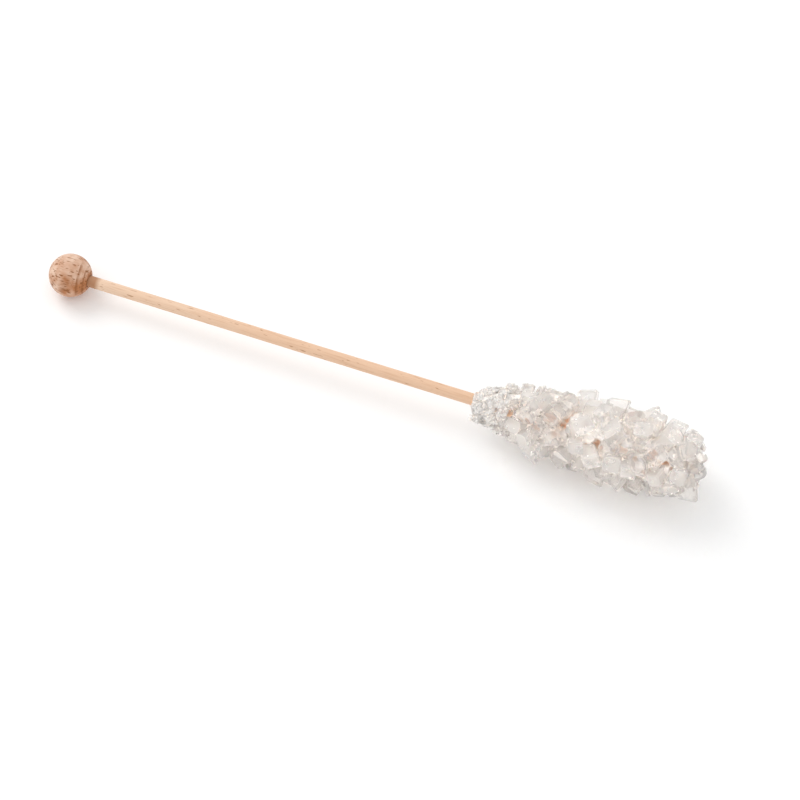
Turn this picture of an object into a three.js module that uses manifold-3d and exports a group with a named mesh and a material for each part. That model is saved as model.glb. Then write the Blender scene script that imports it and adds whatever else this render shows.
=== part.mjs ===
// A rock candy stick, lying on a table: a thin birch dowel with a turned beech ball on one end
// and a spindle of rock sugar grown round the other. Millimetres, +Z up. The dowel runs along +X
// from the ball to the sugar, and rises a little, because the sugar is thicker than the ball.
//
// Everything is first made in the dowel's own frame: the origin is the ball's centre, +X runs
// along the dowel, and "around" is an angle about it, 0 straight up and positive towards -Y.
import * as THREE from "three";
import { ConvexGeometry } from "three/addons/geometries/ConvexGeometry.js";
import { mergeVertices } from "three/addons/utils/BufferGeometryUtils.js";
import Module from "manifold-3d";

// Driving sizes.
const BALL_DIAMETER = 11.2;
const DOWEL_DIAMETER = 3.0;
const DOWEL_END = 158; // from the ball's centre, inside the sugar
const SOCKET_DEPTH = 6.5; // how far the dowel goes into the ball
const GLUE_GAP = 0.1; // between the dowel and whatever holds it
const EDGE_BREAK = 0.35; // the rounding at the ball's socket and the dowel's ends
const BALL_FLAT_DEPTH = 0.06; // how much of the ball its resting flat takes off

const SUGAR_START = 109.5;
const SUGAR_END = 171;
const SUGAR_RADIUS = 11.3; // to the tips of the crystals, at the widest place
const CORE_SHARE = [0.84, 0.66]; // the packed middle, as a share of the outline: by the dowel, beyond
const CORE_EASES_OVER = 0.4; // the share of the length over which the first gives way to the second
const CORE_WALL = 0.5; // the least sugar round the dowel
const REST_RADIUS = 10.2; // from the dowel's axis down to the table
const REST_ALONG = 146; // where that is measured
const FOOT_DEPTH = 0.25; // how much a crystal that stands on the table is worn flat
const FLOOR_CLEARANCE = 0.2; // under all the others

// Sucrose grows as slanted blocks: the angle between two of its crystal axes is 103 degrees.
const SUCROSE_SLANT = Math.tan(THREE.MathUtils.degToRad(13));

// Segments of the round pieces.
const ROUND_SEGMENTS = 24;
const BALL_SEGMENTS = 24;
const BALL_RINGS = 14;
const CORE_SEGMENTS = 12;
const CORE_RINGS = 9;

const BALL_RADIUS = BALL_DIAMETER / 2;
const DOWEL_RADIUS = DOWEL_DIAMETER / 2;
const SOCKET_RADIUS = DOWEL_RADIUS + GLUE_GAP;
const SUGAR_LENGTH = SUGAR_END - SUGAR_START;
const BALL_REST = BALL_RADIUS - BALL_FLAT_DEPTH;
const TILT = Math.asin((REST_RADIUS - BALL_REST) / REST_ALONG);

// The crystals that give the cluster its outline, from the dowel's side to the far end. out is
// from the axis to the crystal's centre. lean tips its far end outwards, and turn spins it.
const LEADING_CRYSTALS = [
  // the fine lumps where the sugar starts
  { along: 112.6, around: 118, out: 3.7, size: 2.6, lean: 4, turn: 30 },
  { along: 115.8, around: 122, out: 4.0, size: 2.9, lean: -6, turn: 10 },
  { along: 118.6, around: 112, out: 4.9, size: 2.8, lean: 16, turn: 50 },
  { along: 115.4, around: -66, out: 3.1, size: 2.7, lean: 32, turn: 20 },
  { along: 118.6, around: -60, out: 4.8, size: 2.9, lean: 12, turn: 40 },
  { along: 122.4, around: -64, out: 6.1, size: 3.1, lean: 8, turn: 15 },
  { along: 126.6, around: -60, out: 6.5, size: 3.2, lean: -4, turn: 25 },
  // along the upper edge
  { along: 131.8, around: -62, out: 6.3, size: 3.7, lean: 40, turn: 10 },
  { along: 137.5, around: -62, out: 7.8, size: 4.9, lean: 18, turn: 0 },
  { along: 145.2, around: -60, out: 8.2, size: 5.2, lean: 8, turn: 15 },
  { along: 154.4, around: -64, out: 8.3, size: 4.8, lean: 42, turn: 5 },
  { along: 160.6, around: -60, out: 7.9, size: 4.6, lean: -8, turn: 10 },
  { along: 151.0, around: -20, out: 7.2, size: 5.2, lean: 10, turn: 30 },
  // round the far end
  { along: 165.2, around: -58, out: 5.4, size: 5.4, lean: -46, turn: 5 },
  { along: 167.6, around: 60, out: 1.6, size: 4.8, lean: -40, turn: 25 },
  { along: 167.2, around: 112, out: 5.2, size: 5.4, lean: -6, turn: 5 },
  { along: 164.8, around: 5, out: 6.4, size: 5.1, lean: -24, turn: 35 },
  { along: 164.4, around: 205, out: 5.6, size: 5.0, lean: -30, turn: 20 },
  // along the lower edge
  { along: 122.9, around: 115, out: 5.1, size: 4.6, lean: 6, turn: 0 },
  { along: 128.4, around: 112, out: 7.7, size: 4.1, lean: 24, turn: 10 },
  { along: 135.3, around: 118, out: 7.2, size: 4.2, lean: 34, turn: 0 },
  { along: 140.2, around: 116, out: 7.2, size: 3.6, lean: -12, turn: 5 },
  { along: 144.9, around: 110, out: 8.5, size: 4.7, lean: 12, turn: 8 },
  { along: 150.8, around: 114, out: 8.6, size: 3.7, lean: 38, turn: 0 },
  { along: 155.0, around: 110, out: 8.4, size: 3.1, lean: 10, turn: 12 },
  { along: 160.6, around: 108, out: 7.6, size: 3.6, lean: -10, turn: 20 },
  // the broad faces in front
  { along: 133.0, around: 54, out: 6.0, size: 4.8, lean: 12, turn: 25 },
  { along: 139.0, around: 18, out: 7.0, size: 5.0, lean: -10, turn: 40 },
  { along: 147.5, around: 42, out: 7.4, size: 4.9, lean: 14, turn: 65 },
  { along: 143.0, around: 72, out: 7.2, size: 4.5, lean: -18, turn: 20 },
  { along: 153.0, around: 66, out: 7.8, size: 4.3, lean: 8, turn: 10 },
  { along: 158.6, around: 30, out: 7.6, size: 4.9, lean: -12, turn: 50 },
  { along: 160.0, around: 76, out: 6.6, size: 4.3, lean: 20, turn: 30 },
];

// The crystals that the cluster stands on. Each is set where it reaches the table.
const FEET = [
  { along: 126, around: 160, size: 3.6 },
  { along: 129, around: 204, size: 3.8 },
  { along: 154, around: 156, size: 4.4 },
  { along: 157, around: 202, size: 4.4 },
];

const FILLERS = 116; // the places between the leading ones, spread by the golden angle
const FILLER_SEED = 14;
const FILLER_ROOM = 0.62; // how near a filler may come to a leading crystal, times their mean size
const MOST_LEAN = 38;
const GOLDEN_ANGLE = 137.5;
const GRAIN_UNTIL = 0.2; // share of the cluster's length where the grains give way to blocks
const GRAIN_SIZE = [1.8, 2.8];
const BLOCK_SIZE = [3.3, 5.2];

const wasm = await Module();
wasm.setup();

/** A repeatable source of numbers from 0 to 1. */
function seededRandom(seed) {
  let state = seed;
  return () => {
    state = (Math.imul(state, 1664525) + 1013904223) >>> 0;
    return state / 2 ** 32;
  };
}

const between = (low, high, share) => low + (high - low) * share;

/**
 * The outline's radius at a share of the cluster's length: a spindle that is blunt at its far
 * end, and widest two thirds of the way along.
 */
function outlineRadius(share) {
  const spindle = (s) => Math.sqrt(s) * (1 - s) ** 0.25;
  return (SUGAR_RADIUS * spindle(share)) / spindle(2 / 3);
}

/** A closed three.js geometry as a manifold solid. */
function toSolid(geometry) {
  const bare = geometry.index ? geometry.toNonIndexed() : geometry.clone();
  bare.deleteAttribute("normal");
  bare.deleteAttribute("uv");
  const merged = mergeVertices(bare, 1e-4);
  return new wasm.Manifold(
    new wasm.Mesh({
      numProp: 3,
      vertProperties: merged.attributes.position.array,
      triVerts: new Uint32Array(merged.index.array),
    }),
  );
}

/** A manifold solid as a three.js geometry. */
function toGeometry(solid) {
  const mesh = solid.getMesh();
  const geometry = new THREE.BufferGeometry()
    .setAttribute("position", new THREE.BufferAttribute(mesh.vertProperties, 3))
    .setIndex(new THREE.BufferAttribute(mesh.triVerts, 1));
  geometry.computeVertexNormals();
  return geometry;
}

/** A turned shape: points are [along, radius], from the axis back to the axis, growing in along. */
function turned(points, segments) {
  const profile = points.map(([along, radius]) => new THREE.Vector2(radius, along));
  return new THREE.LatheGeometry(profile, segments).rotateZ(-Math.PI / 2);
}

/** The table's surface, as a thick slab to cut with, in the dowel's frame. */
function tableSlab() {
  const thickness = 10;
  const slab = new THREE.BoxGeometry(3 * SUGAR_END, 10 * SUGAR_RADIUS, thickness);
  slab.translate(0, 0, -BALL_REST - thickness / 2);
  return toSolid(slab.rotateY(TILT));
}

/** How far a point of the dowel's frame is above the table. */
const aboveTable = (point) =>
  point.z * Math.cos(TILT) + point.x * Math.sin(TILT) + BALL_REST;

/** The ball, with a socket for the dowel that has a broken edge. */
function ball() {
  const mouth = Math.asin((SOCKET_RADIUS + EDGE_BREAK) / BALL_RADIUS);
  const points = [];
  for (let ring = 0; ring <= BALL_RINGS; ring++) {
    const angle = between(Math.PI, mouth, ring / BALL_RINGS);
    points.push([BALL_RADIUS * Math.cos(angle), ring ? BALL_RADIUS * Math.sin(angle) : 0]);
  }
  const mouthAlong = BALL_RADIUS * Math.cos(mouth);
  const bottomAlong = BALL_RADIUS - SOCKET_DEPTH - GLUE_GAP;
  points.push(
    [mouthAlong - EDGE_BREAK / 2, SOCKET_RADIUS],
    [bottomAlong, SOCKET_RADIUS],
    [bottomAlong, 0],
  );
  const solid = toSolid(turned(points, BALL_SEGMENTS)).subtract(tableSlab());
  return toGeometry(solid);
}

/** The dowel, from the bottom of its socket to inside the sugar, with broken ends. */
function dowel() {
  const start = BALL_RADIUS - SOCKET_DEPTH;
  return turned(
    [
      [start, 0],
      [start, DOWEL_RADIUS - EDGE_BREAK],
      [start + EDGE_BREAK, DOWEL_RADIUS],
      [DOWEL_END - EDGE_BREAK, DOWEL_RADIUS],
      [DOWEL_END, DOWEL_RADIUS - EDGE_BREAK],
      [DOWEL_END, 0],
    ],
    ROUND_SEGMENTS,
  );
}

/**
 * One block of sugar about its own centre: a slanted block whose four upright edges are cut off
 * by different amounts. A leading one has a bevel round its outer face too.
 */
function crystalBlock(size, leading, random) {
  const length = size;
  const width = size * between(0.8, 1, random());
  const height = size * between(0.9, 1.15, random());
  const bevel = between(0.06, 0.13, random()) * width;
  const cuts = [0, 1, 2, 3].map(() => between(0.08, 0.3, random() ** 2) * width);
  const corners = [
    [1, 1],
    [-1, 1],
    [-1, -1],
    [1, -1],
  ];
  const outerFace = leading
    ? [
        [0, height / 2 - bevel],
        [bevel, height / 2],
      ]
    : [[0, height / 2]];
  const points = [];
  for (const [inset, z] of [[0, -height / 2], ...outerFace]) {
    corners.forEach(([sx, sy], corner) => {
      const x = length / 2 - inset;
      const y = width / 2 - inset;
      const shift = SUCROSE_SLANT * z;
      points.push(new THREE.Vector3(sx * (x - cuts[corner]) + shift, sy * y, z));
      points.push(new THREE.Vector3(sx * x + shift, sy * (y - cuts[corner]), z));
    });
  }
  return new ConvexGeometry(points);
}

/** Where a crystal sits: turned and leaned on the spot, then carried out and round the dowel. */
function crystalPlace({ along, around, out, lean, turn }) {
  const rad = THREE.MathUtils.degToRad;
  return new THREE.Matrix4()
    .makeTranslation(along, 0, 0)
    .multiply(new THREE.Matrix4().makeRotationX(rad(around)))
    .multiply(new THREE.Matrix4().makeTranslation(0, 0, out))
    .multiply(new THREE.Matrix4().makeRotationY(rad(-lean)))
    .multiply(new THREE.Matrix4().makeRotationZ(rad(turn)));
}

/** The lowest corner of a geometry above the table. */
function lowestAboveTable(geometry) {
  const position = geometry.attributes.position;
  let lowest = Infinity;
  for (let i = 0; i < position.count; i++)
    lowest = Math.min(lowest, aboveTable(new THREE.Vector3().fromBufferAttribute(position, i)));
  return lowest;
}

/**
 * A crystal at its place. One that would go through the table is drawn in towards the dowel
 * until its lowest corner is clearance above the table.
 */
function setCrystal(crystal, leading, random, clearance = FLOOR_CLEARANCE) {
  const block = crystalBlock(crystal.size, leading, random);
  const at = (out) => block.clone().applyMatrix4(crystalPlace({ ...crystal, out }));
  const placed = at(crystal.out);
  const excess = clearance - lowestAboveTable(placed);
  if (excess <= 0) return placed;
  const downwards = -Math.cos(THREE.MathUtils.degToRad(crystal.around));
  return at(crystal.out - excess / Math.max(downwards, 0.3));
}

/** A crystal that the cluster stands on: set far out, then drawn in until it fits. */
function setFoot(foot, random) {
  const lean = between(-MOST_LEAN, MOST_LEAN, random()) / 2;
  const turn = between(0, 90, random());
  return setCrystal({ ...foot, out: SUGAR_RADIUS, lean, turn }, true, random, -FOOT_DEPTH);
}

/** Where a crystal's centre is. */
const centreOf = (crystal) => new THREE.Vector3().setFromMatrixPosition(crystalPlace(crystal));

/** The crystals between the leading ones: fine grains by the dowel, blocks further along. */
function fillers() {
  const random = seededRandom(FILLER_SEED);
  const placed = [];
  for (let i = 0; i < FILLERS; i++) {
    const share = between(0.03, 0.92, i / (FILLERS - 1));
    const size = between(...(share < GRAIN_UNTIL ? GRAIN_SIZE : BLOCK_SIZE), random());
    const crystal = {
      along: SUGAR_START + share * SUGAR_LENGTH,
      around: i * GOLDEN_ANGLE,
      out: outlineRadius(share) * between(0.82, 0.94, random()) - size / 2,
      size,
      lean: between(-MOST_LEAN, MOST_LEAN, random()),
      turn: between(0, 90, random()),
    };
    const crowded = LEADING_CRYSTALS.some((other) => {
      const room = (FILLER_ROOM * (size + other.size)) / 2;
      return centreOf(crystal).distanceTo(centreOf(other)) < room;
    });
    if (!crowded) placed.push(setCrystal(crystal, false, random));
  }
  return placed;
}

/** The packed middle of the cluster, a spindle that joins all the crystals. */
function sugarCore() {
  const points = [];
  for (let ring = 0; ring <= CORE_RINGS; ring++) {
    const share = between(0.01, 0.975, ring / CORE_RINGS);
    const packed = between(...CORE_SHARE, Math.min(share / CORE_EASES_OVER, 1));
    const radius = Math.max(packed * outlineRadius(share), SOCKET_RADIUS + CORE_WALL);
    points.push([SUGAR_START + share * SUGAR_LENGTH, radius]);
  }
  points.unshift([points[0][0], 0]);
  points.push([points.at(-1)[0], 0]);
  return turned(points, CORE_SEGMENTS);
}

/** The whole cluster, grown round the dowel and worn flat where it stands. */
function sugar() {
  const random = seededRandom(FILLER_SEED + 1);
  const crystals = [
    ...LEADING_CRYSTALS.map((crystal) => setCrystal(crystal, true, random)),
    ...FEET.map((foot) => setFoot(foot, random)),
    ...fillers(),
  ];
  const grown = crystals.reduce(
    (whole, crystal) => whole.add(toSolid(crystal)),
    toSolid(sugarCore()),
  );
  const bore = turned(
    [
      [SUGAR_START - SUGAR_RADIUS, 0],
      [SUGAR_START - SUGAR_RADIUS, SOCKET_RADIUS],
      [DOWEL_END + GLUE_GAP, SOCKET_RADIUS],
      [DOWEL_END + GLUE_GAP, 0],
    ],
    ROUND_SEGMENTS,
  );
  return toGeometry(grown.subtract(toSolid(bore)).subtract(tableSlab()));
}

/** A named piece with its own material. */
function piece(name, geometry, look) {
  const mesh = new THREE.Mesh(geometry, new THREE.MeshStandardMaterial(look));
  mesh.name = name;
  return mesh;
}

const stick = new THREE.Group();
stick.add(
  piece("ball", ball(), { color: 0xcf9f7c, roughness: 0.7, metalness: 0 }),
  piece("dowel", dowel(), { color: 0xe6c39f, roughness: 0.7, metalness: 0 }),
  piece("rock_sugar", sugar(), { color: 0xe0dad5, roughness: 0.2, metalness: 0 }),
);
stick.rotation.y = -TILT;

// The part stands on z = 0, and its box is centred on the origin.
const part = new THREE.Group();
part.add(stick);
const box = new THREE.Box3().setFromObject(part, true);
const middle = box.getCenter(new THREE.Vector3());
part.position.set(-middle.x, -middle.y, -box.min.z);

export default part;
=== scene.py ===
"""The looks of a rock candy stick: a beech ball and a birch dowel with rock sugar grown round its end.

Lengths in the classes below are in millimetres in the dowel's own frame: X runs along the dowel from
the ball's centre to the sugar, and "around" is an angle about it, 0 straight up and positive towards
-Y. StickAxis carries a finished mesh into the part's frame, in metres.
"""
import logging
import math
from collections.abc import Iterable
from dataclasses import dataclass, field
from enum import Enum

import bmesh
import bpy
from mathutils import Matrix, Vector, noise
from mathutils.bvhtree import BVHTree


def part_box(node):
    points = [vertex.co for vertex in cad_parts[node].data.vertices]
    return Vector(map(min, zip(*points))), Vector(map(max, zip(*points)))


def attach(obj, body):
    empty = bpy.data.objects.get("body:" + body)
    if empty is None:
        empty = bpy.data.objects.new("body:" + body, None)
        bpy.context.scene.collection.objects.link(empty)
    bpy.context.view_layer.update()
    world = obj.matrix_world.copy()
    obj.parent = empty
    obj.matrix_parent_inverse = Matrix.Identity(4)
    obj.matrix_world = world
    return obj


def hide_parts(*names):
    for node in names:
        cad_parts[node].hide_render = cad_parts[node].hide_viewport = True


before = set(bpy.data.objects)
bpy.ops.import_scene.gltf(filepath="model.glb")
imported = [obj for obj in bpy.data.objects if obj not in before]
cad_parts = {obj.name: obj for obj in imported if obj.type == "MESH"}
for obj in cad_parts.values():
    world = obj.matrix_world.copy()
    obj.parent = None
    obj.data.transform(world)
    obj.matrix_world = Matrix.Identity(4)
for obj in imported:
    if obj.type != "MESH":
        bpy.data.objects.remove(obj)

log = logging.getLogger("rock_candy")

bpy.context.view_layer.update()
MM = 0.001
BODY = "root"
WAVE_PERIOD = math.tau / 20  # of the wave texture at a scale of 1
THINNESS = "thin_over_wood"  # the heart's attribute, from 0 to 1
SHADER = "Principled BSDF"  # the name of each new material's own shader
TOUCHING = 1e-4  # corners nearer to a place than this are at it, in mm
QUARTER_TURN = (0.0, 90.0)  # after which a block looks much the same


# ---------------------------------------------------------------------------------------------
# Helpers


def linear(hex_colour: str) -> tuple[float, float, float, float]:
    """Turns an sRGB hex colour into the linear RGBA that a shader takes.

    Args:
        hex_colour: Six hex digits, with or without a leading #.

    Returns:
        Linear red, green and blue, and an alpha of 1.
    """
    digits = hex_colour.lstrip("#")
    channels = [int(digits[i : i + 2], 16) / 255 for i in (0, 2, 4)]
    red, green, blue = (
        c / 12.92 if c <= 0.04045 else ((c + 0.055) / 1.055) ** 2.4 for c in channels
    )
    return red, green, blue, 1.0


def feed(material: bpy.types.Material, node: bpy.types.Node, inputs: dict) -> None:
    """Sets a node's inputs.

    Args:
        material: The material that the node is in.
        node: The node.
        inputs: Socket name or number to a value, or to the output socket that feeds it.
    """
    for name, value in inputs.items():
        if isinstance(value, bpy.types.NodeSocket):
            material.node_tree.links.new(value, node.inputs[name])
        else:
            node.inputs[name].default_value = value


def add_node(
    material: bpy.types.Material,
    kind: str,
    inputs: dict,
    stops: tuple[tuple[float, float], ...] = (),
    **settings: object,
) -> bpy.types.Node:
    """Adds a shader node, with its settings and links.

    Args:
        material: The material whose tree takes the node.
        kind: The node's type, such as "ShaderNodeTexNoise".
        inputs: Socket name or number to a value, or to the output socket that feeds it.
        stops: Place and grey value of each stop of a colour ramp, in order.
        **settings: The node's own properties.

    Returns:
        The new node.
    """
    node = material.node_tree.nodes.new(kind)
    for name, value in settings.items():
        setattr(node, name, value)
    if stops:
        elements = node.color_ramp.elements
        while len(elements) < len(stops):
            elements.new(0.5)
        for element, (place, grey) in zip(elements, stops):
            element.position = place
            element.color = (grey, grey, grey, 1.0)
    feed(material, node, inputs)
    return node


def new_material(name: str) -> bpy.types.Material:
    """Makes a material that holds a Principled shader and its output.

    Args:
        name: The material's name.

    Returns:
        The material.
    """
    material = bpy.data.materials.new(name)
    material.use_nodes = True
    material.node_tree.nodes[SHADER].distribution = "MULTI_GGX"
    return material


def bevel(bm: bmesh.types.BMesh, edges: list[bmesh.types.BMEdge], offset: float) -> None:
    """Cuts edges off by a small flat.

    Args:
        bm: The shape.
        edges: Its edges to cut.
        offset: How far from each edge the flat starts.
    """
    bmesh.ops.bevel(
        bm,
        geom=edges,
        offset=offset,
        offset_type="OFFSET",
        segments=1,
        profile=0.5,
        affect="EDGES",
        clamp_overlap=True,
        material=-1,
    )


def gathered(shapes: list[bmesh.types.BMesh]) -> bmesh.types.BMesh:
    """Joins bmeshes into one.

    Args:
        shapes: The bmeshes, which are used up.

    Returns:
        The whole.
    """
    whole = bmesh.new()
    mesh = bpy.data.meshes.new("one_shape")
    for bm in shapes:
        bm.to_mesh(mesh)
        bm.free()
        whole.from_mesh(mesh)
    bpy.data.meshes.remove(mesh)
    return whole


class Draws:
    """A repeatable source of numbers, the same on every computer."""

    def __init__(self, seed: int) -> None:
        """Starts the sequence at a seed."""
        self.state = seed

    def share(self) -> float:
        """Returns the next number, from 0 to 1."""
        self.state = (self.state * 1664525 + 1013904223) & 0xFFFFFFFF
        return self.state / 2**32

    def between(self, low: float, high: float) -> float:
        """Returns the next number, from low to high."""
        return low + (high - low) * self.share()


# ---------------------------------------------------------------------------------------------
# The dowel's frame


@dataclass(frozen=True)
class StickAxis:
    """The way from the dowel's frame, in millimetres, to the part's frame, in metres.

    Attributes:
        to_part: The matrix that carries a point from the first to the second.
    """

    to_part: Matrix

    @classmethod
    def from_dowel(cls, start_along: float) -> "StickAxis":
        """Reads the axis off the CAD dowel.

        Args:
            start_along: Where the dowel starts, from the ball's centre.

        Returns:
            The axis.
        """
        corners = [v.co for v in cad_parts["dowel"].data.vertices]
        lowest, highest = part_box("dowel")
        end_depth = 0.2 * MM
        near = [c for c in corners if c.x < lowest.x + end_depth]
        far = [c for c in corners if c.x > highest.x - end_depth]
        start = sum(near, Vector()) / len(near)
        end = sum(far, Vector()) / len(far)
        x_axis = (end - start).normalized()
        y_axis = Vector((0, 1, 0))
        y_axis = (y_axis - x_axis * y_axis.dot(x_axis)).normalized()
        z_axis = x_axis.cross(y_axis)
        turn = Matrix((x_axis, y_axis, z_axis)).transposed().to_4x4()
        origin = start - x_axis * start_along * MM
        return cls(Matrix.Translation(origin) @ turn @ Matrix.Scale(MM, 4))

    def height(self, point: Vector) -> float:
        """Returns how far a point of the dowel's frame is above the table, in mm."""
        return (self.to_part @ point).z / MM

    def cut_at_table(self, bm: bmesh.types.BMesh) -> None:
        """Cuts off and closes what reaches below the table.

        Args:
            bm: A closed shape in the dowel's frame.
        """
        back = self.to_part.inverted()
        foot = back @ Vector((0, 0, 0))
        cut = bmesh.ops.bisect_plane(
            bm,
            geom=bm.verts[:] + bm.edges[:] + bm.faces[:],
            dist=1e-5,
            plane_co=foot,
            plane_no=(back @ Vector((0, 0, 1)) - foot).normalized(),
            clear_inner=True,
        )
        rim = [e for e in cut["geom_cut"] if isinstance(e, bmesh.types.BMEdge)]
        bmesh.ops.edgenet_fill(bm, edges=rim)


@dataclass
class Workshop:
    """What turns a finished bmesh into a piece of the part.

    Attributes:
        axis: The dowel's frame.
    """

    axis: StickAxis

    def piece(
        self,
        name: str,
        bm: bmesh.types.BMesh,
        material: bpy.types.Material,
        slot: str,
        smooth_below: float = 0.0,
    ) -> bpy.types.Object:
        """Turns a bmesh in the dowel's frame into a piece that rides on the part.

        Args:
            name: The piece's name.
            bm: Its shape, which is used up.
            material: Its finish.
            slot: The record's material slot meant for it; not used.
            smooth_below: Edges flatter than this many degrees are shaded smooth.

        Returns:
            The piece's object.
        """
        bmesh.ops.transform(bm, matrix=self.axis.to_part, verts=bm.verts)
        mesh = bpy.data.meshes.new(name)
        bm.to_mesh(mesh)
        bm.free()
        mesh.materials.append(material)
        if smooth_below:
            mesh.shade_smooth()
            mesh.set_sharp_from_angle(angle=math.radians(smooth_below))
        piece = bpy.data.objects.new(name, mesh)
        bpy.context.scene.collection.objects.link(piece)
        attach(piece, BODY)
        log.info("%s: %d faces", name, len(mesh.polygons))
        return piece


def spun(profile: list[tuple[float, float]], steps: int) -> bmesh.types.BMesh:
    """Spins an outline about the dowel's axis.

    Args:
        profile: Points as (along, radius).
        steps: Segments round the axis.

    Returns:
        A closed shell whose faces point out.
    """
    bm = bmesh.new()
    corners = [bm.verts.new((along, 0, radius)) for along, radius in profile]
    edges = [bm.edges.new(pair) for pair in zip(corners, corners[1:])]
    bmesh.ops.spin(
        bm,
        geom=corners + edges,
        axis=(1, 0, 0),
        cent=(0, 0, 0),
        angle=math.tau,
        steps=steps,
        use_merge=True,
    )
    bmesh.ops.remove_doubles(bm, verts=bm.verts, dist=1e-5)
    bmesh.ops.recalc_face_normals(bm, faces=bm.faces)
    return bm


def arc(
    centre: tuple[float, float], radius: float, start: float, end: float, steps: int
) -> list[tuple[float, float]]:
    """Returns points on an arc of a profile.

    Args:
        centre: The arc's centre as (along, radius).
        radius: Its own radius.
        start: First angle in degrees, 0 along the dowel and 90 outwards.
        end: Last angle in degrees.
        steps: Segments of the arc.

    Returns:
        steps + 1 points as (along, radius).
    """
    angles = [math.radians(start + (end - start) * i / steps) for i in range(steps + 1)]
    return [(centre[0] + radius * math.cos(a), centre[1] + radius * math.sin(a)) for a in angles]


# ---------------------------------------------------------------------------------------------
# Finishes


MARK_CELLS = 4.2  # cells of noise across the grain that are as wide together as one mark is long


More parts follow.
